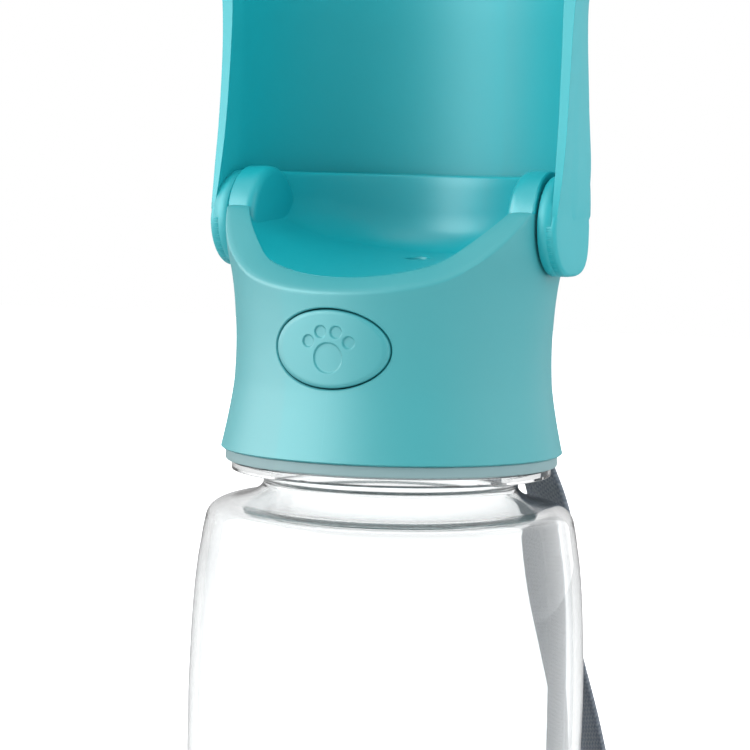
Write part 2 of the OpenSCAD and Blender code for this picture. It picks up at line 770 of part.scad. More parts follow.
module carry_strap() {
    points = strap_points();
    last = len(points) - 1;
    half = strap_w / 2;
    t = strap_t / 2;
    section = [[half, -t / 2], [half, t / 2], [half - 0.5, t], [0.5 - half, t],
        [-half, t / 2], [-half, -t / 2], [0.5 - half, -t], [half - 0.5, -t]];
    color([0.5, 0.52, 0.56]) skin([for (i = [0:last])
        let (ahead = i == 0 || i == last ? [0, 0, i == 0 ? -1 : 1] : unit(points[i + 1] - points[i - 1]),
            az = strap_route[i][1], around = [-sin(az), cos(az), 0],
            side = unit(around - ahead * (ahead * around)), out = cross(side, ahead))
        [for (q = section) points[i] + side * q[0] + out * q[1]]]);
}

bottle();
threaded_liner();
mouth_gasket();
head_shell();
dish();
trough();
friction_washer(-1);  // friction_washer_left
friction_washer(1);  // friction_washer_right
button();
valve_stem();
valve_plug();
valve_housing();
valve_cap();
cap_seal();
stem_seal();
seal_retainer();
return_spring();
outlet_gasket();
inlet_gasket();
valve_screws();
carry_strap();
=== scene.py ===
import math

import bmesh
import bpy
from mathutils import Matrix, Vector


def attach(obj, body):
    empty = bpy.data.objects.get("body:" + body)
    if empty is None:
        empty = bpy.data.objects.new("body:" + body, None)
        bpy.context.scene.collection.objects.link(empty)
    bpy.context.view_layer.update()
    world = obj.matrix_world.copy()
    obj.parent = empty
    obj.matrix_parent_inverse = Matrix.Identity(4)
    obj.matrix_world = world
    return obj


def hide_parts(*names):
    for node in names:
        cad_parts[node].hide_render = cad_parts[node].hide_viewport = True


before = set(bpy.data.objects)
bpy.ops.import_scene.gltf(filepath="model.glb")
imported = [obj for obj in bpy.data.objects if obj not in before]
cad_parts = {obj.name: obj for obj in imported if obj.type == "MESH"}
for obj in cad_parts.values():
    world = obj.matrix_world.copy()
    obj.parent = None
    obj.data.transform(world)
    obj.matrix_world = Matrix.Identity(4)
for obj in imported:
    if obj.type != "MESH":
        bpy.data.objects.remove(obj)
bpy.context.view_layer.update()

# Pieces are drawn in millimetres and turned to metres when they are finished.
# The head, the dish, the button and the trough are drawn from the hinge's axis.
mm = 0.001
hingeLevel = 184.6

bpy.context.scene.view_settings.view_transform = "Standard"


# Camera

camera = {      # place in metres, azimuth in degrees from +Y towards -X, pitch and roll in radians
    "place": (0.20603, -0.48216, 0.19048), "azimuth": 23.541, "pitch": -0.070, "roll": 0.024, "lens": 125.3,
    "sensor": 36.0, "clipStart": 0.01,
}


def buildCamera():
    turn, pitch, roll = math.radians(camera["azimuth"]), camera["pitch"], camera["roll"]
    ahead = Vector((-math.sin(turn) * math.cos(pitch), math.cos(turn) * math.cos(pitch), math.sin(pitch)))
    level = Vector((math.cos(turn), math.sin(turn), 0.0))
    above = level.cross(ahead)
    right = level * math.cos(roll) + above * math.sin(roll)
    up = above * math.cos(roll) - level * math.sin(roll)
    lens = bpy.data.cameras.new("photoCamera")
    lens.lens = camera["lens"]
    lens.sensor_width = camera["sensor"]
    lens.clip_start = camera["clipStart"]
    holder = bpy.data.objects.new("photoCamera", lens)
    bpy.context.scene.collection.objects.link(holder)
    holder.matrix_world = Matrix((
        (right.x, up.x, -ahead.x, camera["place"][0]), (right.y, up.y, -ahead.y, camera["place"][1]),
        (right.z, up.z, -ahead.z, camera["place"][2]), (0.0, 0.0, 0.0, 1.0)))
    bpy.context.scene.camera = holder


buildCamera()
print("camera placed")


# Shader nodes: a Wire is a socket that can stand in a sum

class Wire:
    def __init__(self, graph, socket):
        self.graph = graph
        self.socket = socket

    def combine(self, operation, *others):
        return self.graph.add("ShaderNodeMath", {"operation": operation}, dict(enumerate(others)))

    def __add__(self, other): return self.combine("ADD", self, other)
    def __radd__(self, other): return self.combine("ADD", other, self)
    def __sub__(self, other): return self.combine("SUBTRACT", self, other)
    def __rsub__(self, other): return self.combine("SUBTRACT", other, self)
    def __mul__(self, other): return self.combine("MULTIPLY", self, other)
    def __rmul__(self, other): return self.combine("MULTIPLY", other, self)
    def __pow__(self, other): return self.combine("POWER", self, other)
    def __abs__(self): return self.combine("ABSOLUTE", self)
    def less(self, other): return self.combine("LESS_THAN", self, other)
    def sine(self): return self.combine("SINE", self)
    def least(self, other): return self.combine("MINIMUM", self, other)
    def most(self, other): return self.combine("MAXIMUM", self, other)


class Graph:
    def __init__(self, owner):
        owner.use_nodes = True
        self.tree = owner.node_tree
        self.tree.nodes.clear()

    def add(self, kind, settings=None, values=None, output=0):
        node = self.tree.nodes.new(kind)
        for key, value in (settings or {}).items():
            setattr(node, key, value)
        for key, value in (values or {}).items():
            if isinstance(value, Wire):
                self.tree.links.new(value.socket, node.inputs[key])
            else:
                node.inputs[key].default_value = value
        return Wire(self, node.outputs[output])

    def mixColours(self, factor, first, second):
        return self.add("ShaderNodeMix", {"data_type": "RGBA"}, {0: factor, 6: first, 7: second}, output=2)

    def noise(self, place, scale, detail=2.0, roughness=0.5):
        return self.add("ShaderNodeTexNoise", None,
                        {"Vector": place, "Scale": scale, "Detail": detail, "Roughness": roughness})

    def stretched(self, place, scale):
        return self.add("ShaderNodeMapping", None, {"Vector": place, "Scale": scale})

    def axes(self, place):
        split = self.add("ShaderNodeSeparateXYZ", None, {0: place})
        return [Wire(self, socket) for socket in split.socket.node.outputs]

    def objectPlace(self):
        return self.add("ShaderNodeTexCoord", output="Object")

    def bump(self, height, strength, depth):      # depth in millimetres
        return self.add("ShaderNodeBump", None,
                        {"Strength": strength, "Distance": depth * mm, "Height": height})

    def rays(self):
        outputs = self.add("ShaderNodeLightPath").socket.node.outputs
        kinds = ("Camera", "Glossy", "Transmission")
        return {kind: Wire(self, outputs["Is " + kind + " Ray"]) for kind in kinds}

    def close(self, shader, kind="ShaderNodeOutputMaterial"):
        node = self.tree.nodes.new(kind)
        self.tree.links.new(shader.socket, node.inputs["Surface"])


def colour(red, green, blue):
    return (red, green, blue, 1.0)


def newMaterial(name):
    material = bpy.data.materials.new(name)
    return material, Graph(material)


def plasticMaterial(name, finish):
    material, graph = newMaterial(name)
    place = graph.objectPlace()
    cloud = graph.noise(place, finish["cloudScale"], 3.0)
    grain = graph.noise(place, finish["grainScale"], 2.0, 0.6)
    scuff = graph.noise(place, finish["scuffScale"], 4.0, 0.65)
    plain, shade, worn = (colour(*finish[key]) for key in ("colour", "shade", "worn"))
    tint = graph.mixColours(cloud * finish["cloudAmount"], plain, shade)
    speck = (scuff - finish["scuffFrom"]).most(0.0) * finish["scuffAmount"]
    tint = graph.mixColours(speck.least(1.0), tint, worn)
    rough = finish["roughness"] + (cloud + scuff - 1.0) * finish["roughShift"]
    height = grain
    if finish["parting"]:      # the mould's parting line, down the middle of the front
        across, depth = graph.axes(place)[:2]
        line = abs(across).less(finish["parting"] * mm) * depth.less(0.0)
        tint = graph.mixColours(line * finish["partingTint"], tint, worn)
        height = height - line * finish["partingDepth"]
    bump = graph.bump(height, finish["bump"], finish["grainDepth"])
    shader = graph.add("ShaderNodeBsdfPrincipled", None, {
        "Base Color": tint, "Roughness": rough, "Normal": bump, "IOR": finish["ior"],
        "Specular IOR Level": finish["specular"]})
    graph.close(shader)
    return material


plainPlastic = {
    "colour": (0.016, 0.385, 0.435), "shade": (0.014, 0.365, 0.418), "worn": (0.07, 0.45, 0.50),
    "cloudScale": 30.0, "cloudAmount": 0.6, "grainScale": 1500.0, "grainDepth": 0.03, "bump": 0.16,
    "scuffScale": 420.0, "scuffFrom": 0.62, "scuffAmount": 0.4, "roughness": 0.32, "roughShift": 0.05,
    "ior": 1.5, "specular": 0.6, "parting": 0.0, "partingTint": 0.12, "partingDepth": 1.5,
}
# The head, button, dish and trough are taken as one turquoise plastic; the head's and button's colour is painted
# darker, painted shade that dims their lit fronts
headPlastic = {
    **plainPlastic, "colour": (0.036, 0.352, 0.388), "shade": (0.033, 0.338, 0.374),
    "roughness": 0.5, "specular": 0.95,
}
turquoiseHead = plasticMaterial("turquoiseHeadPlastic", {**headPlastic, "parting": 0.07})
turquoiseButton = plasticMaterial("turquoiseButtonPlastic", headPlastic)
# Painted light: the dish's and trough's turquoise is set lighter than the plain one, so their shaded hollows
# come out brighter
turquoiseDish = plasticMaterial("turquoiseDishPlastic", {
    **plainPlastic, "colour": (0.006, 0.40, 0.455), "shade": (0.005, 0.385, 0.44),
    "roughness": 0.38, "specular": 0.85})
turquoiseTrough = plasticMaterial("turquoiseTroughPlastic", {
    **plainPlastic, "colour": (0.003, 0.42, 0.475), "shade": (0.002, 0.40, 0.455),
    "roughness": 0.52, "specular": 0.8})
greyMatte = plasticMaterial("greyMattePlastic", {
    **plainPlastic, "colour": (0.265, 0.41, 0.43), "shade": (0.245, 0.385, 0.405), "worn": (0.34, 0.46, 0.48),
    "cloudAmount": 0.4, "scuffAmount": 0.15, "roughness": 0.55, "specular": 0.4,
    "grainDepth": 0.04, "bump": 0.2})
whitePlastic = plasticMaterial("whiteValvePlastic", {
    **plainPlastic, "colour": (0.80, 0.82, 0.82), "shade": (0.74, 0.76, 0.76), "worn": (0.85, 0.86, 0.86),
    "roughness": 0.42, "specular": 0.5})
silicone = plasticMaterial("milkySilicone", {
    **plainPlastic, "colour": (0.68, 0.70, 0.70), "shade": (0.60, 0.63, 0.63), "worn": (0.76, 0.77, 0.77),
    "roughness": 0.55, "specular": 0.4, "grainDepth": 0.04})
darkRubber = plasticMaterial("darkRubber", {
    **plainPlastic, "colour": (0.028, 0.028, 0.031), "shade": (0.020, 0.020, 0.022),
    "worn": (0.06, 0.06, 0.062), "roughness": 0.62, "specular": 0.4, "grainDepth": 0.05, "bump": 0.35})


def steelMaterial():
    material, graph = newMaterial("brightSteel")
    place = graph.objectPlace()
    streak = graph.noise(graph.stretched(place, (400.0, 3000.0, 400.0)), 1.0)
    cloud = graph.noise(place, 200.0)
    shader = graph.add("ShaderNodeBsdfPrincipled", None, {
        "Base Color": graph.mixColours(cloud, colour(0.58, 0.59, 0.60), colour(0.70, 0.71, 0.72)),
        "Roughness": 0.2 + streak * 0.18, "Metallic": 1.0})
    graph.close(shader)
    return material


steel = steelMaterial()


clear = {      # heights in millimetres, and the power and amount of each darker edge, painted shade that stands in for the dark outlines refraction gives
    "through": (0.975, 0.988, 0.99), "edge": (0.42, 0.50, 0.55), "bodyEdgeShade": (6.0, 0.8), "neckEdgeShade": (12.0, 0.5),
    "bodyTop": 121.0, "bodyFade": 5.0, "ior": 1.49, "roughness": 0.015, "haze": 0.02, "ripple": 0.05,
}


def clearMaterial():
    material, graph = newMaterial("clearPlastic")
    place = graph.objectPlace()
    facing = graph.add("ShaderNodeLayerWeight", None, {"Blend": 0.5}, output="Facing")
    haze = graph.noise(place, 60.0, 3.0)
    ripple = graph.noise(graph.stretched(place, (30.0, 30.0, 260.0)), 1.0)
    below = clear["bodyTop"] * mm - graph.axes(place)[2]
    low = (below * (1 / (clear["bodyFade"] * mm))).most(0.0).least(1.0)
    (bodyPower, bodyAmount), (neckPower, neckAmount) = clear["bodyEdgeShade"], clear["neckEdgeShade"]
    # Painted shade: the colour turns grey-blue where the wall is seen edge-on, in place of the dark outlines
    # from refraction
    thick = (facing ** bodyPower) * low * bodyAmount + (facing ** neckPower) * (1.0 - low) * neckAmount
    tint = graph.mixColours(thick, colour(*clear["through"]), colour(*clear["edge"]))
    shader = graph.add("ShaderNodeBsdfPrincipled", None, {
        "Base Color": tint, "Roughness": clear["roughness"] + haze * clear["haze"], "IOR": clear["ior"],
        "Transmission Weight": 1.0, "Normal": graph.bump(ripple, clear["ripple"], 0.1)})
    graph.close(shader)
    return material


clearPlastic = clearMaterial()


weave = {      # ribs over the width, picks to a metre of length, and depth in millimetres
    "ribs": 9.0, "picks": 1100.0, "depth": 0.12, "bump": 0.6, "roughness": 0.72, "sheen": 0.25, "specular": 0.3,
    "dark": (0.12, 0.145, 0.18), "light": (0.34, 0.375, 0.42), "cloud": (0.20, 0.23, 0.27),
}


def webbingMaterial():
    material, graph = newMaterial("greyWebbing")
    across, along = graph.axes(graph.add("ShaderNodeUVMap", {"uv_map": "along"}))[:2]
    place = graph.objectPlace()
    rib, pick = 2.0 * math.pi * weave["ribs"], 2.0 * math.pi * weave["picks"]
    ribs = (across * rib).sine()
    picks = (along * pick + ribs * 1.2).sine()
    twill = (along * (pick / 2) + across * rib).sine()
    yarn = graph.noise(place, 2600.0, 2.0, 0.6)
    cloud = graph.noise(place, 70.0)
    shade = picks * 0.22 + twill * 0.16 + 0.5 + (yarn - 0.5) * 0.5
    tint = graph.mixColours(shade, colour(*weave["dark"]), colour(*weave["light"]))
    tint = graph.mixColours(cloud * 0.35, tint, colour(*weave["cloud"]))
    height = picks * 0.35 + ribs * 0.35 + yarn * 0.5
    shader = graph.add("ShaderNodeBsdfPrincipled", None, {
        "Base Color": tint, "Roughness": weave["roughness"] + (yarn - 0.5) * 0.2,
        "Normal": graph.bump(height, weave["bump"], weave["depth"]), "Sheen Weight": weave["sheen"],
        "Specular IOR Level": weave["specular"]})
    graph.close(shader)
    return material


webbing = webbingMaterial()
print("materials made")


# Mesh helpers

def smoothStep(value):
    value = min(max(value, 0.0), 1.0)
    return value * value * (3.0 - 2.0 * value)


def ramp(value, start, run):
    return smoothStep((value - start) / run)


def blend(first, second, share):
    return first + (second - first) * share


def curveAt(table, at):       # a smooth value through pairs of place and value
    if at <= table[0][0]:
        return table[0][1]
    if at >= table[-1][0]:
        return table[-1][1]
    k = next(i for i in range(len(table) - 1) if at <= table[i + 1][0])

    def slope(i):
        low, high = max(i - 1, 0), min(i + 1, len(table) - 1)
        return (table[high][1] - table[low][1]) / (table[high][0] - table[low][0])

    span = table[k + 1][0] - table[k][0]
    t = (at - table[k][0]) / span
    return ((2 * t ** 3 - 3 * t ** 2 + 1) * table[k][1] + (t ** 3 - 2 * t ** 2 + t) * slope(k) * span
            + (3 * t ** 2 - 2 * t ** 3) * table[k + 1][1] + (t ** 3 - t ** 2) * slope(k + 1) * span)


def bentLine(start, corner, end, steps):      # a quadratic curve from start to end
    return [tuple((1 - t) ** 2 * a + 2 * t * (1 - t) * b + t * t * c for a, b, c in zip(start, corner, end))
            for t in [i / steps for i in range(steps + 1)]]


def extrudeRing(bm, edges):      # grows a ring of edges, for the new edges and their points
    grown = bmesh.ops.extrude_edge_only(bm, edges=edges)["geom"]
    edges = [item for item in grown if isinstance(item, bmesh.types.BMEdge) and item.is_boundary]
    return edges, list(dict.fromkeys(vert for edge in edges for vert in edge.verts))


def loft(bm, count, rows, place):
    # A ring of count points is extruded row by row, and place(row, k) says where point k goes
    column = bm.verts.layers.int.get("column") or bm.verts.layers.int.new("column")
    level = bm.verts.layers.int.get("level") or bm.verts.layers.int.new("level")
    verts = bmesh.ops.create_circle(bm, segments=count, radius=1.0)["verts"]
    for vert in verts:
        vert[column] = round(math.atan2(vert.co.x, vert.co.y) / (2 * math.pi) * count) % count
    edges = firstEdges = list(dict.fromkeys(edge for vert in verts for edge in vert.link_edges))
    for row in range(rows):
        if row:
            edges, verts = extrudeRing(bm, edges)
        for vert in verts:
            vert[level] = row
            vert.co = place(row, vert[column])
    return firstEdges, edges


def closeToPoint(bm, edges, point):
    bmesh.ops.pointmerge(bm, verts=extrudeRing(bm, edges)[1], merge_co=Vector(point))


def polar(radius, angle, level):      # angle from +X towards +Y, in degrees
    return Vector((radius * math.cos(math.radians(angle)), radius * math.sin(math.radians(angle)), level))


def atFront(radius, angle, level):      # angle from the front towards +X, in degrees
    return Vector((radius * math.sin(math.radians(angle)), -radius * math.cos(math.radians(angle)), level))


def turned(bm, profile, steps):
    # A closed solid of revolution about X from pairs of place along X and radius
    def place(row, k):
        along, radius = profile[row]
        angle = 2 * math.pi * k / steps
        return Vector((along, radius * math.cos(angle), radius * math.sin(angle)))

    for edges, row in zip(loft(bm, steps, len(profile), place), (0, -1)):
        closeToPoint(bm, edges, (profile[row][0], 0, 0))


def roundedBlock(bm, size, middle, turn, radius, segments=3):
    made = bmesh.ops.create_cube(bm, size=1.0)["verts"]
    bmesh.ops.scale(bm, vec=size, verts=made)
    edges = list(dict.fromkeys(edge for vert in made for edge in vert.link_edges))
    faces = bmesh.ops.bevel(bm, geom=edges, offset=radius, segments=segments, profile=0.5, affect="EDGES",
                            material=-1)["faces"]
    made = list(dict.fromkeys([vert for face in faces for vert in face.verts]
                              + [vert for vert in made if vert.is_valid]))
    bmesh.ops.rotate(bm, cent=(0, 0, 0), matrix=Matrix.Rotation(turn, 3, "Z"), verts=made)
    bmesh.ops.translate(bm, vec=middle, verts=made)


def finishPiece(bm, name, body, material, replaced, lift=0.0, bevel=None, angle=None, segments=3):
    bmesh.ops.remove_doubles(bm, verts=bm.verts, dist=0.0005)
    bmesh.ops.recalc_face_normals(bm, faces=bm.faces)
    bmesh.ops.translate(bm, vec=(0, 0, lift), verts=bm.verts)
    bmesh.ops.scale(bm, vec=(mm, mm, mm), verts=bm.verts)
    mesh = bpy.data.meshes.new(name)
    bm.to_mesh(mesh)
    bm.free()
    mesh.shade_smooth()
    mesh.materials.append(material)
    piece = bpy.data.objects.new(name, mesh)
    bpy.context.scene.collection.objects.link(piece)
    if bevel:
        rounding = piece.modifiers.new("rounding", "BEVEL")
        rounding.width = bevel * mm
        rounding.segments = segments
        rounding.harden_normals = True
        rounding.limit_method = "WEIGHT"
        if angle:
            rounding.limit_method = "ANGLE"
            rounding.angle_limit = math.radians(angle)
    else:
        mesh.set_sharp_from_angle(angle=math.radians(angle))
    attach(piece, body)
    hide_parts(*replaced)
    print("built", name, len(mesh.polygons), "faces")
    return piece


# Carry strap, a flat band that leaves the lug at the back and comes back to it

strap = {
    "width": 10.0, "thickness": 1.2, "round": 0.45, "edgeShare": 0.4, "flats": (-1, -0.6, -0.2, 0.2, 0.6, 1),
    "perStretch": 6,
    "route": [      # distance from the bottle's axis, angle from +X towards +Y, height
        (34.5, 72, 157), (34.8, 70, 151), (35.5, 66, 145), (36.4, 61, 139), (37.4, 56, 133),
        (38.7, 51.5, 127), (39.9, 48.5, 120), (41, 46.5, 110), (41.6, 46, 98), (41.8, 46, 84),
        (41.8, 46, 66), (41.8, 46, 48), (42.2, 46.5, 34), (44.2, 47, 24), (48.2, 47.5, 19.5),
        (52.5, 48, 22.5), (54.6, 48.5, 32), (54.4, 49, 46), (52.8, 51, 62), (50.4, 54.5, 78),
        (47.6, 59, 93), (45, 62, 106), (43, 62.5, 117), (41, 61, 127), (38.9, 62, 134),
        (38.1, 64, 140.5), (37, 68.5, 147), (36.5, 71.2, 152.5), (36.4, 72, 157)],
}


def buildStrap():
    route = strap["route"]
    steps = strap["perStretch"]
    tables = [[(i, point[part]) for i, point in enumerate(route)] for part in range(3)]
    places = [i / steps for i in range((len(route) - 1) * steps + 1)]
    spots = [[curveAt(table, place) for table in tables] for place in places]
    points = [polar(*spot) for spot in spots]
    last = len(points) - 1
    lengths = [0.0]
    for i in range(last):
        lengths.append(lengths[-1] + (points[i + 1] - points[i]).length)
    half, thin, flat = strap["width"] / 2, strap["thickness"] / 2, strap["width"] / 2 - strap["round"]
    edge = thin * strap["edgeShare"]
    section = ([(half, -edge), (half, edge)] + [(flat * -share, thin) for share in strap["flats"]]
               + [(-half, edge), (-half, -edge)] + [(flat * share, -thin) for share in strap["flats"]])

    def place(row, k):
        before, after = points[max(row - 1, 0)], points[min(row + 1, last)]
        ahead = Vector((0, 0, -1 if row == 0 else 1)) if row in (0, last) else (after - before).normalized()
        around = polar(1.0, spots[row][1] + 90, 0.0)
        side = (around - ahead * around.dot(ahead)).normalized()
        out = side.cross(ahead)
        across, deep = section[k]
        return points[row] + side * across + out * deep

    bm = bmesh.new()
    ends = loft(bm, len(section), last + 1, place)
    sheet = bm.loops.layers.uv.new("along")
    column, level = bm.verts.layers.int["column"], bm.verts.layers.int["level"]
    for face in bm.faces:
        for loop in face.loops:
            across = section[loop.vert[column]][0] / strap["width"] + 0.5
            loop[sheet].uv = (across, lengths[loop.vert[level]] * mm)
    for edges in ends:
        bmesh.ops.edgeloop_fill(bm, edges=edges)
    piece = finishPiece(bm, "carryStrap", "head", webbing, ["carry_strap"], angle=60.0)
    print("strap is", round(lengths[-1], 1), "mm long")


buildStrap()


# Bottle

bottle = {
    "radius": 40.0, "wall": 1.9, "base": 3.0, "round": 5.0, "levels": (20.0, 55.0), "bodyTop": 90.0,
    "punt": [(0.0, 1.2), (20.0, 1.2), (25.0, 0.6), (28.0, 0.0)],      # radius and height
    "floor": [(28.0, 0.1), (20.0, 1.2), (0.0, 1.2)],      # radius and height above the base
    # Corner, end and steps of each curve from the body up to the neck
    "shoulder": [((39.6, 112.0), (38.0, 120.0), 12), ((37.7, 122.5), (37.2, 124.7), 6),
                 ((36.7, 128.0), (32.0, 128.7), 14)],
    "neckCorner": (26.6, 129.6), "neck": 131.8, "neckRadius": 25.7, "neckSteps": 14,
    "bead": 0.4, "beadHalf": 0.8, "flange": 134.5, "flangeRadius": 32.15, "finish": 136.2,
    "mouth": 148.8, "mouthRadius": 24.2, "thread": 25.9, "threadHeight": 1.05, "ridge": 1.25, "flank": 0.6,
    "pitch": 4.0, "turns": 1.75, "threadStart": 139.0, "threadAngle": 7.0, "threadRows": 40, "steps": 192,
}


def threadAt(angle, level, first):      # from 0 to 1 on the ridge of a right-hand thread
    b = bottle
    best = 0.0
    for lap in range(math.ceil(b["turns"])):
        along = (angle - b["threadAngle"]) % 360 / 360 + lap
        if along <= b["turns"]:
            away = abs(level - first - b["pitch"] * along)
            fade = smoothStep(along * 20) * smoothStep((b["turns"] - along) * 20)
            best = max(best, smoothStep((b["ridge"] - away) / b["flank"]) * fade)
    return best


def buildBottle():
    b = bottle
    outer, inner = b["radius"], b["radius"] - b["wall"]
    profile = b["punt"] + bentLine((outer - b["round"], 0.0), (outer, 0.0), (outer, b["round"]), 8)
    profile += [(outer, level) for level in b["levels"]]
    outside = [(outer, b["bodyTop"])]
    toNeck = (b["neckCorner"], (b["neckRadius"], b["neck"]), b["neckSteps"])
    for corner, end, steps in b["shoulder"] + [toNeck]:
        outside += bentLine(outside[-1], corner, end, steps)[1:]
    inside = []
    for i in range(1, len(outside) - 1):       # the wall thins towards the neck
        along = (Vector(outside[i + 1]) - Vector(outside[i - 1])).normalized()
        wall = blend(b["wall"], b["neckRadius"] - b["mouthRadius"], i / (len(outside) - 1))
        inside.append((outside[i][0] - along.y * wall, outside[i][1] + along.x * wall))
    bead = (b["neck"] + b["flange"]) / 2
    profile += outside + [(b["neckRadius"] + b["bead"] * (1 + math.cos(math.pi * i / 4)) / 2,
                           bead + b["beadHalf"] * i / 4) for i in range(-4, 5)]
    profile += [(b["neckRadius"], b["flange"]), (b["flangeRadius"], b["flange"]),
                (b["flangeRadius"], b["finish"])]
    profile += [(b["thread"], blend(b["finish"], b["mouth"], i / b["threadRows"]))
                for i in range(b["threadRows"] + 1)]
    profile += [(b["mouthRadius"], b["mouth"]), (b["mouthRadius"], b["neck"])] + inside[::-1]
    profile += [(inner, level) for level in (b["bodyTop"],) + b["levels"][::-1]]
    profile += bentLine((inner, b["round"] + b["base"]), (inner, b["base"]),
                        (inner - b["round"], b["base"]), 8)
    profile += [(radius, b["base"] + rise) for radius, rise in b["floor"]]

    bm = bmesh.new()
    verts = [bm.verts.new((radius, 0.0, height)) for radius, height in profile]
    edges = [bm.edges.new(pair) for pair in zip(verts, verts[1:])]
    bmesh.ops.spin(bm, geom=verts + edges, cent=(0, 0, 0), axis=(0, 0, 1), angle=2 * math.pi,
                   steps=b["steps"], use_merge=True)
    bmesh.ops.remove_doubles(bm, verts=bm.verts, dist=0.0005)
    for vert in bm.verts:      # the thread grows out of the neck's straight wall
        radius = vert.co.xy.length
        if abs(radius - b["thread"]) < 0.01 and vert.co.z > b["finish"] + 0.1:
            angle = math.degrees(math.atan2(vert.co.y, vert.co.x))
            vert.co.xy *= 1 + b["threadHeight"] * threadAt(angle, vert.co.z, b["threadStart"]) / radius
    finishPiece(bm, "bottleBody", "bottle", clearPlastic, ["bottle"], bevel=0.18, angle=40.0,
                segments=2)


buildBottle()


# Threaded liner, whose lip shows as the grey ring

liner = {
    "lip": 136.5, "lipHeight": 2.2, "lipRadius": 33.4, "lipRound": 0.4, "lipTopRound": 0.25, "radius": 30.3,
    "root": 27.2, "crest": 26.15, "under": 150.0, "top": 152.0, "inletBehind": 19.5, "inletRadius": 4.05,
    "threadStart": 141.0, "threadRows": 44, "plateRows": 6, "steps": 192,
}


def buildLiner():
    n = liner
    steps, low, lip = n["steps"], n["lip"], n["lipRadius"]
    lipTop = low + n["lipHeight"]
    rows = [(low, n["root"])]
    rows += bentLine((low, lip - n["lipRound"]), (low, lip), (low + n["lipRound"], lip), 5)
    rows += bentLine((lipTop - n["lipTopRound"], lip), (lipTop, lip), (lipTop, lip - n["lipTopRound"]), 4)
    rows += [(lipTop, n["radius"]), (n["top"], n["radius"])]
    threadFrom = len(rows)
    rows += [(blend(n["under"], low, i / n["threadRows"]), n["root"]) for i in range(n["threadRows"] + 1)]
    inlet = Vector((0.0, n["inletBehind"], 0.0))

    def wall(row, k):
        angle = 360.0 * k / steps
        level, radius = rows[row]
        if row >= threadFrom:
            radius -= (n["root"] - n["crest"]) * threadAt(angle, level, n["threadStart"])
        return polar(radius, angle, level)

    def plate(level, outer):      # a ring of faces between the rim and the inlet's hole
        def place(row, k):
            angle = 360.0 * k / steps
            bore = inlet + polar(n["inletRadius"], angle, level)
            return polar(outer, angle, level).lerp(bore, row / n["plateRows"])
        return place

    def inletWall(row, k):
        return inlet + polar(n["inletRadius"], 360.0 * k / steps, n["top"] if row else n["under"])

    bm = bmesh.new()
    loft(bm, steps, len(rows), wall)
    loft(bm, steps, n["plateRows"] + 1, plate(n["top"], n["radius"]))
    loft(bm, steps, n["plateRows"] + 1, plate(n["under"], n["root"]))
    loft(bm, steps, 2, inletWall)
    finishPiece(bm, "linerRing", "head", greyMatte, ["threaded_liner"], angle=50.0)


buildLiner()


# Head shell

head = {
    "profile": [      # level and radius
        (-45.9, 34.45), (-44, 34.0), (-41, 33.37), (-38, 32.8), (-35, 32.3), (-31.5, 31.88), (-24.3, 31.7),
        (-17, 32.08), (-12, 32.65), (-8.3, 33.35), (-5.7, 33.9), (-3, 34.2), (0, 34.36), (2.5, 34.4)],
    "foot": -45.9, "footRound": [(33.3, 0.0), (34.0, 0.1), (34.35, 0.4)], "footRise": 0.9, "seam": 2.5,
    "bore": 29.9, "boreRows": 24, "boreLimit": 30.6, "linerBore": 30.35, "linerTop": -32.6, "recess": 10.5,
    "recessDepth": 32.8, "columns": 240, "rows": 54,
    "lug": (7.6, 12.4, 9.6), "lugPlace": (34.2, 72.0, -22.8), "lugRound": 1.0,
}
saddle = {
    "innerRadius": 28.3, "width": 28.0, "depth": 11.0, "middle": 2.7, "slope": math.tan(math.radians(4.5)),
    "bevelRadius": 32.6, "bevelWidth": 32.0, "bevelDepth": 18.3, "bevelMiddle": 5.0, "bevelPower": 2.4,
    "lip": 1.0, "lipFrom": 76.0, "lipRun": 4.0, "endsAt": 80.0,
    "sideRise": 4.5, "sideFrom": 35.0, "sideRun": 42.0,
    "sideOut": 1.4, "outFrom": 46.0, "outRun": 26.0, "outEnd": 84.0, "outFade": 16.0,
    "wallTop": 0.55, "bevelEdge": 0.3, "lipEdge": 0.35, "bulge": 0.16,
}
button = {
    "width": 23.5, "height": 15.0, "middle": -24.1, "radius": 32.2, "gap": 0.3, "depth": 10.0, "wall": 1.6,
    "face": 2.0, "edge": 0.9, "edgeDrop": 0.6, "grid": (170, 116), "skirt": 5.0, "chamfer": 0.2,
    "padPlace": (0.0, -1.7), "padRadius": 2.9, "toeRadius": 1.15, "toeReach": 5.2,
    "toeAngles": (-54, -18, 18, 54), "engrave": 0.35, "engraveRun": 0.22,
    "patchAcross": 2.2, "patchUp": 1.6, "openingEdge": 0.25,
    "tab": (3.2, 1.6, 6.0), "tabAcross": 12.45, "tabFromBack": 2.2, "tabRound": 0.2,
}


def shellRadius(level):
    return curveAt(head["profile"], level)


def saddleEdge(x, width, depth, middle, power):
    share = min(abs(x) / width, 1.0)
    return middle - depth * max(1 - share ** power, 0.0) ** (1 / power)


def floorLevel(x, y):
    s = saddle
    return saddleEdge(x, s["width"], s["depth"], s["middle"], 2.0) + y * s["slope"]


def sideRise(away):      # the edge stands higher beside the hinge's housings
    return saddle["sideRise"] * ramp(away, saddle["sideFrom"], saddle["sideRun"])


def innerEdge(away):      # away from the front, in degrees
    turn = math.radians(away)
    x, y = saddle["innerRadius"] * math.sin(turn), -saddle["innerRadius"] * math.cos(turn)
    return min(floorLevel(x, y) + sideRise(away), head["seam"])


def innerRadius(away):      # the hollow widens beside the housings
    s = saddle
    return s["innerRadius"] + (s["sideOut"] * ramp(away, s["outFrom"], s["outRun"])
                               * (1 - ramp(away, s["outEnd"], s["outFade"])))


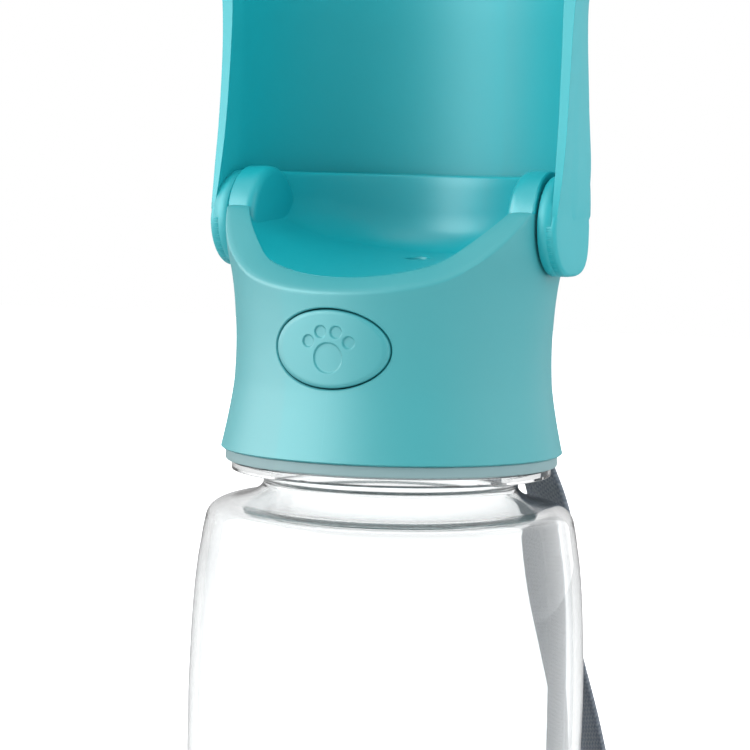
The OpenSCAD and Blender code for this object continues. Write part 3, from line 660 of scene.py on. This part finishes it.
def outerEdge(away):      # radius and level where the saddle's bevel leaves the shell
    s = saddle
    if away > s["endsAt"]:
        return shellRadius(head["seam"]), head["seam"]
    inside = innerEdge(away)
    x = s["bevelRadius"] * math.sin(math.radians(away))
    level = (saddleEdge(x, s["bevelWidth"], s["bevelDepth"], s["bevelMiddle"], s["bevelPower"])
             + sideRise(away))
    fall = (level - inside) / (s["bevelRadius"] - s["innerRadius"])
    for _ in range(6):
        level = inside + fall * (shellRadius(level) - s["innerRadius"])
    level = min(level, head["seam"])
    return shellRadius(level), level


def shellSection(away):      # radius and level up the outside, over the bevel and down the bore
    h, s = head, saddle
    topRadius, top = outerEdge(away)
    inside = innerEdge(away) if away <= s["endsAt"] else h["seam"]
    lipRadius = blend(innerRadius(away) + 0.05, h["bore"], ramp(away, s["lipFrom"], s["lipRun"]))
    section = [(h["linerBore"], h["foot"])] + [(radius, h["foot"] + rise) for radius, rise in h["footRound"]]
    for row in range(h["rows"]):
        level = blend(h["foot"] + h["footRise"], top - s["wallTop"], row / (h["rows"] - 1))
        section.append((shellRadius(level), level))
    across, drop = topRadius - lipRadius, top - inside
    fall = drop / across      # both edges of the bevel are rounded
    section += [(topRadius - 0.08, top - 0.22),
                (topRadius - s["bevelEdge"], top - 0.02 - s["bevelEdge"] * fall)]
    for share in (0.25, 0.5, 0.75):
        bulge = s["bulge"] * math.sin(math.pi * share)
        section.append((topRadius - across * share, top - drop * share + bulge))
    under = inside - s["lip"]
    section += [(lipRadius + s["lipEdge"], inside + 0.06 + s["lipEdge"] * fall),
                (lipRadius + 0.08, inside - 0.06), (lipRadius, inside - 0.3), (lipRadius, under)]
    section += [(h["bore"], blend(under - 0.02, h["linerTop"], i / h["boreRows"]))
                for i in range(h["boreRows"] + 1)]
    section.append((h["linerBore"], h["linerTop"]))
    return section


def openForButton(bm):      # a patch of the grid makes way for an oval with as many points
    b, h = button, head

    def onOutside(spot):
        return spot.xy.length > h["boreLimit"]

    def near(spot):
        return (spot.y < 0 and abs(spot.x) < b["width"] / 2 + b["patchAcross"]
                and abs(spot.z - b["middle"]) < b["height"] / 2 + b["patchUp"])

    patch = [face for face in bm.faces if near(face.calc_center_median())]
    bmesh.ops.delete(bm, geom=patch, context="FACES")
    rims = {True: [], False: []}
    for edge in bm.edges:
        if edge.is_boundary:
            rims[onOutside(edge.verts[0].co)].append(edge)
    ovals = []
    roundEdge = ((b["openingEdge"], 0.0), (0.0, -b["openingEdge"]))
    for outside, rows in ((True, roundEdge), (False, ((0.0, 0.0),))):
        count = len(rims[outside])

        def place(row, k):
            angle = 2 * math.pi * k / count
            grow = b["gap"] + rows[row][0]
            x = (b["width"] / 2 + grow) * math.cos(angle)
            z = b["middle"] + (b["height"] / 2 + grow) * math.sin(angle)
            radius = shellRadius(z) + rows[row][1] if outside else h["bore"]
            return Vector((x, -math.sqrt(radius * radius - x * x), z))

        firstEdges, lastEdges = loft(bm, count, len(rows), place)
        made = bmesh.ops.bridge_loops(bm, edges=rims[outside] + firstEdges)["edges"]
        cross = [edge for edge in made if edge not in firstEdges]
        cut = bmesh.ops.subdivide_edges(bm, edges=cross, cuts=3, use_grid_fill=True)["geom_inner"]
        for vert in {item for item in cut if isinstance(item, bmesh.types.BMVert)}:
            radius = shellRadius(vert.co.z) if outside else h["bore"]
            vert.co.y = -math.sqrt(radius * radius - vert.co.x ** 2)
        ovals += lastEdges
    bmesh.ops.bridge_loops(bm, edges=ovals)


def buildHead():
    h = head
    angles = [360.0 * k / h["columns"] for k in range(h["columns"])]
    sections = [shellSection(min(angle, 360 - angle)) for angle in angles]

    def place(row, k):
        radius, level = sections[k][row % len(sections[k])]
        spot = atFront(radius, angles[k], level)
        if math.hypot(spot.y, spot.z) < h["recess"]:      # room for the trough's ears
            spot.x = min(max(spot.x, -h["recessDepth"]), h["recessDepth"])
        return spot

    bm = bmesh.new()
    loft(bm, h["columns"], len(sections[0]) + 1, place)
    bmesh.ops.remove_doubles(bm, verts=bm.verts, dist=0.0005)
    openForButton(bm)
    roundedBlock(bm, h["lug"], polar(*h["lugPlace"]), math.radians(h["lugPlace"][1]), h["lugRound"])
    finishPiece(bm, "headShell", "head", turquoiseHead, ["head_shell"], lift=hingeLevel,
                angle=38.0)


buildHead()


# Dish with its rear wall and the two round housings

dish = {
    "rim": 9.7, "rimRadius": 31.6, "rimStart": 0.7,
    "rimInside": [(0.12, -0.28), (0.45, -0.04), (1.0, 0.0)],      # out from the hollow, and up from the rim
    "rimOutside": [(-0.9, 0.0), (-0.3, -0.08), (0.05, -0.5)],      # out from the rim's radius, and up
    "backCorner": (33.8, 5.0), "backFoot": (34.3, 0.3), "seamRadius": 34.05, "seamGap": 0.06,
    "outer": 29.85, "foot": -12.3, "fillet": 1.6, "filletBehind": 6.5, "filletFrom": 92.0, "filletRun": 36.0,
    "outletBehind": 11.5, "outletRadius": 2.5, "outletEdge": [(0.0, 4.0), (0.0, 0.5), (0.004, 0.15)],
    "floorFrom": 0.015, "floorRows": 40, "climb": (0.15, 0.35, 0.55, 0.75, 1.0), "columns": 240,
    "thick": 2.0, "thickAtRim": 4.0, "under": (0.788, 0.591, 0.394, 0.197, 0.0197), "underRim": 0.95545,
    "drumIn": 27.0, "drumOut": 32.8, "drumRadius": 10.7, "drumRound": 1.9, "drumEdge": 0.25, "drumCore": 2.0,
    "tuckedIn": 32.7, "insideShell": 0.4,
}


def dishSection(angle):      # points from the outlet's edge over the floor and the rim, and back below
    d, s = dish, saddle
    away = min(angle, 360 - angle)
    behind = away > 90
    inner = innerRadius(away)
    fillet = blend(d["fillet"], d["filletBehind"], ramp(away, d["filletFrom"], d["filletRun"]))
    rimSpot = atFront(inner, angle, 0.0)
    holeSpot = Vector((0.0, d["outletBehind"], 0.0)) + atFront(d["outletRadius"], angle, 0.0)
    reach = (rimSpot - holeSpot).length

    def onFloor(share, drop=0.0):
        spot = holeSpot.lerp(rimSpot, share)
        spot.z = floorLevel(spot.x, spot.y) - drop
        return spot

    points = [onFloor(share, drop) for share, drop in d["outletEdge"]]
    for row in range(d["floorRows"] + 1):
        share = blend(d["floorFrom"], 1.0, row / d["floorRows"])
        near = reach * (1 - share)
        points.append(onFloor(share))
        if behind and near < fillet:      # soft corner at the foot of the wall
            points[-1].z += fillet - math.sqrt(max(fillet ** 2 - (fillet - near) ** 2, 0.0))
    edgeLevel = onFloor(1.0).z
    if behind:
        top, seam = d["rim"], head["seam"]
        start, end = edgeLevel + fillet, top - d["rimStart"]
        outline = [(inner, blend(start, end, share)) for share in d["climb"]]
        outline += [(inner + out, top + up) for out, up in d["rimInside"]]
        outline += [(d["rimRadius"] + out, top + up) for out, up in d["rimOutside"]]
        (cornerRadius, cornerRise), (footRadius, footRise) = d["backCorner"], d["backFoot"]
        outline += bentLine((d["rimRadius"] + 0.1, top - 0.6), (cornerRadius, seam + cornerRise),
                            (footRadius, seam + footRise), 8)
        outline += [(d["seamRadius"], seam + d["seamGap"]), (d["outer"], seam + d["seamGap"])]
    else:
        top = innerEdge(away) - s["lip"] - d["seamGap"]
        start = min(edgeLevel, top + s["lip"])
        outline = [(inner, blend(start, top, share)) for share in d["climb"]]
        outline += [(blend(inner, d["outer"], i / 14), top) for i in range(1, 16)]
        outline += [(d["outer"], top - 0.02), (d["outer"], top - 0.04)]
    outline += [(d["outer"], d["foot"]), (inner, d["foot"])]
    points += [atFront(radius, angle, level) for radius, level in outline]
    points += [onFloor(d["underRim"], d["thickAtRim"])] + [onFloor(share, d["thick"]) for share in d["under"]]
    for spot in points:      # nothing stands out of the housings' ends
        if math.hypot(spot.y, spot.z) < d["drumRadius"] and abs(spot.x) > d["tuckedIn"]:
            spot.x = math.copysign(d["tuckedIn"], spot.x)
    return points


def buildDish():
    d = dish
    sections = [dishSection(360.0 * k / d["columns"]) for k in range(d["columns"])]
    bm = bmesh.new()
    loft(bm, d["columns"], len(sections[0]) + 1, lambda row, k: sections[k][row % len(sections[k])])
    arc = [(1 - math.cos(math.radians(a)), 1 - math.sin(math.radians(a))) for a in (0, 18, 36, 54, 72, 90)]
    drum = [(d["drumIn"], d["drumCore"])]
    drum += [(d["drumIn"] + d["drumRound"] * along, d["drumRadius"] - d["drumRound"] * down)
             for along, down in arc]
    drum += [(d["drumOut"] - 2.0, d["drumRadius"]), (d["drumOut"] - d["drumEdge"], d["drumRadius"]),
             (d["drumOut"], d["drumRadius"] - d["drumEdge"]), (d["drumOut"], d["drumCore"])]
    for side in (-1, 1):
        start = len(bm.verts)
        turned(bm, [(side * along, radius) for along, radius in drum], 96)
        bm.verts.ensure_lookup_table()
        for vert in bm.verts[start:]:
            if vert.co.z < head["seam"]:      # below the seam the housing stays inside the shell
                most = math.sqrt((shellRadius(vert.co.z) - d["insideShell"]) ** 2 - vert.co.y ** 2)
                vert.co.x = math.copysign(min(abs(vert.co.x), most), vert.co.x)
    finishPiece(bm, "dishBowl", "head", turquoiseDish, ["dish"], lift=hingeLevel,
                angle=40.0)


buildDish()


# Button

def engraved(x, z):      # from 0 to 1 on the paw's pad and toes
    b = button
    padX, padZ = b["padPlace"]
    pads = [(padX, padZ, b["padRadius"])]
    for angle in b["toeAngles"]:
        turn = math.radians(angle)
        pads.append((padX + b["toeReach"] * math.sin(turn), padZ + b["toeReach"] * math.cos(turn),
                     b["toeRadius"]))
    return sum(smoothStep((radius - math.hypot(x - across, z - up)) / b["engraveRun"] + 0.5)
               for across, up, radius in pads)


def buildButton():
    b = button
    halfWidth, halfHeight = b["width"] / 2, b["height"] / 2
    bm = bmesh.new()
    bmesh.ops.create_grid(bm, x_segments=b["grid"][0], y_segments=b["grid"][1], size=1.0)
    for vert in bm.verts:      # the square grid becomes an oval, curved with the shell
        u, v = vert.co.x, vert.co.y
        across, up = u * math.sqrt(1 - v * v / 2), v * math.sqrt(1 - u * u / 2)
        x, z = halfWidth * across, halfHeight * up
        slim = b["edge"] - (1 - min(math.hypot(across, up), 1.0)) * halfHeight
        radius = b["radius"] - (b["edge"] - math.sqrt(b["edge"] ** 2 - max(slim, 0.0) ** 2)) * b["edgeDrop"]
        radius -= b["engrave"] * engraved(x, z)
        vert.co = Vector((x, -math.sqrt(radius * radius - x * x), b["middle"] + z))
    rim = [edge for edge in bm.edges if edge.is_boundary]
    back, face = b["depth"] - b["radius"], b["face"] - b["radius"]
    for inset, depth in ((0.0, back - b["skirt"]), (0.0, back - b["chamfer"]), (b["chamfer"], back),
                         (b["wall"], back), (b["wall"], face)):
        rim, verts = extrudeRing(bm, rim)
        for vert in verts:
            x, z = vert.co.x, vert.co.z - b["middle"]
            away = math.hypot(x / halfWidth, z / halfHeight)
            vert.co = Vector((x * (1 - inset / halfWidth) / away, depth,
                              b["middle"] + z * (1 - inset / halfHeight) / away))
    closeToPoint(bm, rim, (0, face, b["middle"]))
    for side in (-1, 1):      # the tabs that keep the button in the shell
        roundedBlock(bm, b["tab"], (side * b["tabAcross"], back - b["tabFromBack"], b["middle"]), 0.0,
                     b["tabRound"], 2)
    finishPiece(bm, "buttonCap", "button", turquoiseButton, ["button"], lift=hingeLevel,
                angle=50.0)


buildButton()


# Trough

trough = {
    "low": 2.0, "high": 150.0, "radius": 35.05, "bodyRadius": 40.9, "wall": 1.95,
    # Start and run of each change of radius on the way up
    "widen": (42.0, 34.0), "basin": 2.3, "basinIn": (80.0, 45.0), "basinOut": (128.0, 22.0), "lean": 0.0023,
    "frontEdge": [      # height above the hinge, and place behind it
        (2, -9.2), (9, -7.6), (19, -5.9), (33, -4.7), (44, -4.3), (98, -4.3), (108, -3.2), (116, -1),
        (123, 2.5), (129, 7), (134, 12), (138.5, 17.5), (142.5, 23.5), (145.5, 29), (148, 34.5), (150, 38.4)],
    "rim": 1.8, "rimShare": [(2, 0.1), (12, 0.3), (34, 0.4), (46, 0.7), (60, 1), (110, 1), (150, 0.3)],
    "rimStand": 0.6, "rimLean": 0.04, "rimFade": 20.0, "rimRound": 0.45,
    "around": 84, "stops": (44.0, 108.0), "rows": (18, 24, 34),
    "endBack": 9.0, "endFront": -8.3, "endRound": 0.9, "endDrop": 3.0,
    "lowRise": 2.5, "lowFrom": 9.5, "lowRun": 7.0, "lowFade": 14.0,
    "cheekFade": 7.0, "cheekLow": 4.0, "cheekRun": 40.0,
    "earIn": 34.95, "earOut": 37.2, "earProud": 0.02, "earFront": 9.8, "earRear": 10.5, "earSlant": 1.4,
    "earRise": 8.0, "earTop": -7.0, "earCorner": [(2.5, -9.2), (5, -8.3)], "earRound": 0.8,
    "earBackRound": 0.3, "frontPower": 2.0, "rearPower": 3.5, "earSteps": 81, "sinkIn": 1.25, "sinkOut": 0.1,
    "bossIn": 33.3, "bossRadius": 9.8, "bossEdge": 0.25,
    "shaftIn": 28.6, "shaftRadius": 4.0, "shaftEdge": 0.3,
}


def troughRadius(s):      # inside, at height s above the hinge
    t = trough
    basin = ramp(s, *t["basinIn"]) - ramp(s, *t["basinOut"])
    return blend(t["radius"], t["bodyRadius"], ramp(s, *t["widen"])) + t["basin"] * basin


def cheek(s, angle):      # how far the flat cheek above an ear stands out of the round wall
    t = trough
    reach = math.degrees(math.atan(t["earRear"] / t["earOut"]))
    flat = t["earOut"] / math.cos(math.radians(min(angle, reach))) - t["radius"] - t["wall"]
    return flat * (1 - ramp(angle, reach, t["cheekFade"])) * (1 - ramp(s, t["cheekLow"], t["cheekRun"]))


def troughWall(s, angle, outside):      # angle from the hinge's plane towards the back
    t = trough
    radius = troughRadius(s)
    ahead = min(angle, 0.0)
    if not outside:
        return radius * (1 - t["lean"] * ahead) / math.cos(math.radians(ahead))
    rim = t["rim"] * curveAt(t["rimShare"], s)
    radius += t["wall"]
    if angle < 0:
        return (radius + rim * (t["rimStand"] - t["rimLean"] * angle)) / math.cos(math.radians(angle))
    return radius + rim * t["rimStand"] * max(1 - angle / t["rimFade"], 0.0) ** 2 + cheek(s, angle)


def edgeAngle(s, radius):
    y = curveAt(trough["frontEdge"], s)
    return math.degrees(math.atan(y / radius) if y < 0 else math.asin(min(y / radius, 0.99)))


def earOutline():      # from the side: round the low end to the back, up, and down the front
    t = trough
    outline = []
    for k in range(t["earSteps"]):
        turn = math.pi * k / (t["earSteps"] - 1)
        width, power = -t["earFront"], t["frontPower"]
        if turn >= math.pi / 2:
            width, power = t["earRear"], t["rearPower"]
        outline.append((width * abs(math.cos(turn)) ** (2 / power),
                        -t["bossRadius"] * math.sin(turn) ** (2 / power)))
    rise, back = t["earRise"], t["earRear"] - t["earSlant"]
    shares = [i / 8 for i in range(1, 9)]
    outline += [(blend(t["earRear"], back, share), rise * share) for share in shares]
    outline += [(blend(back, t["earTop"], share), rise) for share in shares]
    front = [(0, -t["earFront"])] + t["earCorner"] + [(rise, t["earTop"])]
    return outline + [(curveAt(front, rise * share), rise * share) for share in shares[-2::-1]]


def drawEar(bm, side):
    t = trough
    outline = [Vector((0.0, y, z)) for y, z in earOutline()]
    middle = Vector((0.0, 0.0, -1.0))
    inward = []
    for k, spot in enumerate(outline):
        along = (outline[(k + 1) % len(outline)] - outline[k - 1]).normalized()
        across = Vector((0.0, -along.z, along.y))
        inward.append(across if across.dot(middle - spot) > 0 else -across)
    out, edge = t["earOut"] + t["earProud"], t["earRound"]
    # Each ring's place along the hinge, its inset and its share of the way to the middle
    rings = [(t["earIn"], t["earBackRound"], 0.0), (t["earIn"] + t["earBackRound"], 0.0, 0.0)]
    rings += [(out - edge * (1 - math.sin(math.radians(a))), edge * (1 - math.cos(math.radians(a))), 0.0)
              for a in range(0, 91, 15)] + [(out, edge, 0.3)]

    def place(row, k):
        along, inset, share = rings[row]
        high = smoothStep(outline[k].z / t["earRise"])
        sink = t["sinkIn"] if row < 2 else -t["sinkOut"]      # the ear's top ends in the wall
        spot = (outline[k] + inward[k] * inset * (1 - high)).lerp(middle, share)
        spot.x = side * (along + high * sink)
        return spot

    for edges, along in zip(loft(bm, len(outline), len(rings), place), (t["earIn"], out)):
        closeToPoint(bm, edges, (side * along, 0.0, -1.0))


def buildTrough():
    t = trough
    n = t["around"]
    low, middle, upper, high = t["low"], *t["stops"], t["high"]
    first, second, third = t["rows"]
    levels = [low] + [blend(low, middle, i / first) for i in range(first + 1)]
    levels += [blend(middle, upper, i / second) for i in range(1, second + 1)]
    levels += [blend(upper, high, 1 - (1 - i / third) ** 1.5) for i in range(1, third + 1)]

    def place(row, k):      # up to n along the inside, and back along the outside
        s = levels[row]
        outside = k > n
        start = edgeAngle(s, troughWall(s, 0, outside))
        angle = start + (180 - 2 * start) * (2 * n + 1 - k if outside else k) / n
        radius = troughWall(s, min(angle, 180 - angle), outside)
        x, y = radius * math.cos(math.radians(angle)), radius * math.sin(math.radians(angle))
        if row == 0 and y < t["endBack"]:      # the wall ends inside the ear
            y = max(y, t["endFront"])
            x = math.copysign(min(abs(x), t["earOut"] - t["earRound"]), x)
            s = -min(t["endRound"] * math.sqrt(t["endBack"] ** 2 - y * y), t["endDrop"])
        else:      # the low end rises a little behind the ears
            s += t["lowRise"] * ramp(y, t["lowFrom"], t["lowRun"]) * (1 - ramp(s, low, t["lowFade"]))
        return Vector((x, y, s))

    bm = bmesh.new()
    weight = bm.edges.layers.float.new("bevel_weight_edge")
    ends = loft(bm, 2 * n + 2, len(levels), place)
    column = bm.verts.layers.int["column"]
    for edges in ends:      # each end is closed between the inner and the outer wall
        walls = [edge for edge in edges if (edge.verts[0][column] <= n) == (edge.verts[1][column] <= n)]
        bmesh.ops.bridge_loops(bm, edges=walls)
    for edge in bm.edges:      # only the rim of the wall is rounded by the modifier
        start, end = edge.verts[0][column], edge.verts[1][column]
        edge[weight] = 1.0 if start == end and start in (0, n, n + 1, 2 * n + 1) else 0.0
    inside = t["earOut"] - 1
    rounds = [(t["bossIn"], t["bossRadius"], t["bossEdge"], 2.0, 120),
              (t["shaftIn"], t["shaftRadius"], t["shaftEdge"], 1.0, 64)]
    for side in (-1, 1):
        drawEar(bm, side)
        for tip, radius, edge, core, steps in rounds:
            profile = [(tip, core), (tip, radius - edge), (tip + edge, radius), (inside, radius),
                       (inside, core)]
            turned(bm, [(side * along, reach) for along, reach in profile], steps)
    finishPiece(bm, "troughShell", "trough", turquoiseTrough, ["trough"],
                lift=hingeLevel, bevel=t["rimRound"])


buildTrough()


# Pieces that stay as the CAD has them get their finish

finishes = {
    "mouth_gasket": silicone, "outlet_gasket": silicone, "inlet_gasket": silicone, "valve_plug": silicone,
    "friction_washer_left": darkRubber, "friction_washer_right": darkRubber, "cap_seal": darkRubber,
    "stem_seal": darkRubber, "valve_stem": whitePlastic, "valve_housing": whitePlastic,
    "valve_cap": whitePlastic, "seal_retainer": whitePlastic, "return_spring": steel, "valve_screws": steel,
}
for name, material in finishes.items():
    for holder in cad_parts[name].material_slots:
        holder.material = material
print("finishes set")


# Floor, world and lights

studio = {
    "floorSize": 6.0, "floorGlow": 1.2, "floorThrough": 0.6,
    "worldLevel": 0.33, "glossLevel": 0.5, "throughDrop": 0.04, "aim": (0.0, 0.0, 0.17),
    "lamps": [      # name, place, size, watts, colour, rays that it lights
        ("keySoftbox", (-0.76, -1.09, 0.65), (1.2, 1.2), 9.8, (1.0, 0.995, 0.985), "diffuse"),
        ("topSoftbox", (-0.15, -0.55, 1.45), (1.2, 1.2), 10.0, (1.0, 1.0, 1.0), "diffuse"),
        ("leftSoftbox", (-1.13, -0.76, 0.35), (2.6, 1.9), 61.0, (1.0, 0.995, 0.985), "gloss"),
        ("rightFill", (1.28, -0.11, 0.5), (1.1, 1.3), 10.0, (0.96, 0.98, 1.0), "diffuse"),
        ("rightGloss", (1.0, 0.85, 0.4), (2.2, 2.0), 15.0, (0.98, 0.99, 1.0), "gloss"),
    ],
}


def buildStudio():
    bm = bmesh.new()
    bmesh.ops.create_grid(bm, x_segments=8, y_segments=8, size=studio["floorSize"] / 2)
    mesh = bpy.data.meshes.new("floor")
    bm.to_mesh(mesh)
    bm.free()
    material, graph = newMaterial("paleFloor")
    rays = graph.rays()
    mottle = graph.noise(graph.objectPlace(), 6.0)
    tint = graph.mixColours(mottle, colour(0.86, 0.86, 0.865), colour(0.88, 0.88, 0.88))
    plain = graph.add("ShaderNodeBsdfDiffuse", None, {"Color": tint})
    seen = plain
    for kind, level in (("Transmission", studio["floorThrough"]), ("Camera", studio["floorGlow"])):
        glow = graph.add("ShaderNodeEmission", None, {"Color": colour(1, 1, 1), "Strength": level})
        bright = graph.add("ShaderNodeAddShader", None, {0: plain, 1: glow})
        seen = graph.add("ShaderNodeMixShader", None, {0: rays[kind], 1: seen, 2: bright})
    graph.close(seen)
    mesh.materials.append(material)
    floor = bpy.data.objects.new("floor", mesh)
    bpy.context.scene.collection.objects.link(floor)

    world = bpy.data.worlds.new("studio")
    bpy.context.scene.world = world
    graph = Graph(world)
    rays = graph.rays()
    through = rays["Transmission"]
    seen = (rays["Camera"] + through).least(1.0)
    plain = rays["Glossy"] * (studio["glossLevel"] - studio["worldLevel"]) + studio["worldLevel"]
    level = seen * (1.0 - plain) + plain - through * studio["throughDrop"]
    back = graph.add("ShaderNodeBackground", None, {"Color": colour(1, 1, 1), "Strength": level})
    graph.close(back, "ShaderNodeOutputWorld")

    for name, place, size, power, tone, rays in studio["lamps"]:
        lamp = bpy.data.lights.new(name, "AREA")
        lamp.shape = "RECTANGLE"
        lamp.size, lamp.size_y = size
        lamp.energy = power
        lamp.color = tone
        holder = bpy.data.objects.new(name, lamp)
        bpy.context.scene.collection.objects.link(holder)
        holder.location = place
        holder.visible_diffuse = rays != "gloss"
        holder.visible_glossy = rays != "diffuse"
        holder.visible_transmission = False
        aim = Vector(studio["aim"]) - Vector(place)
        holder.rotation_euler = aim.to_track_quat("-Z", "Y").to_euler()


buildStudio()
print("studio lit")
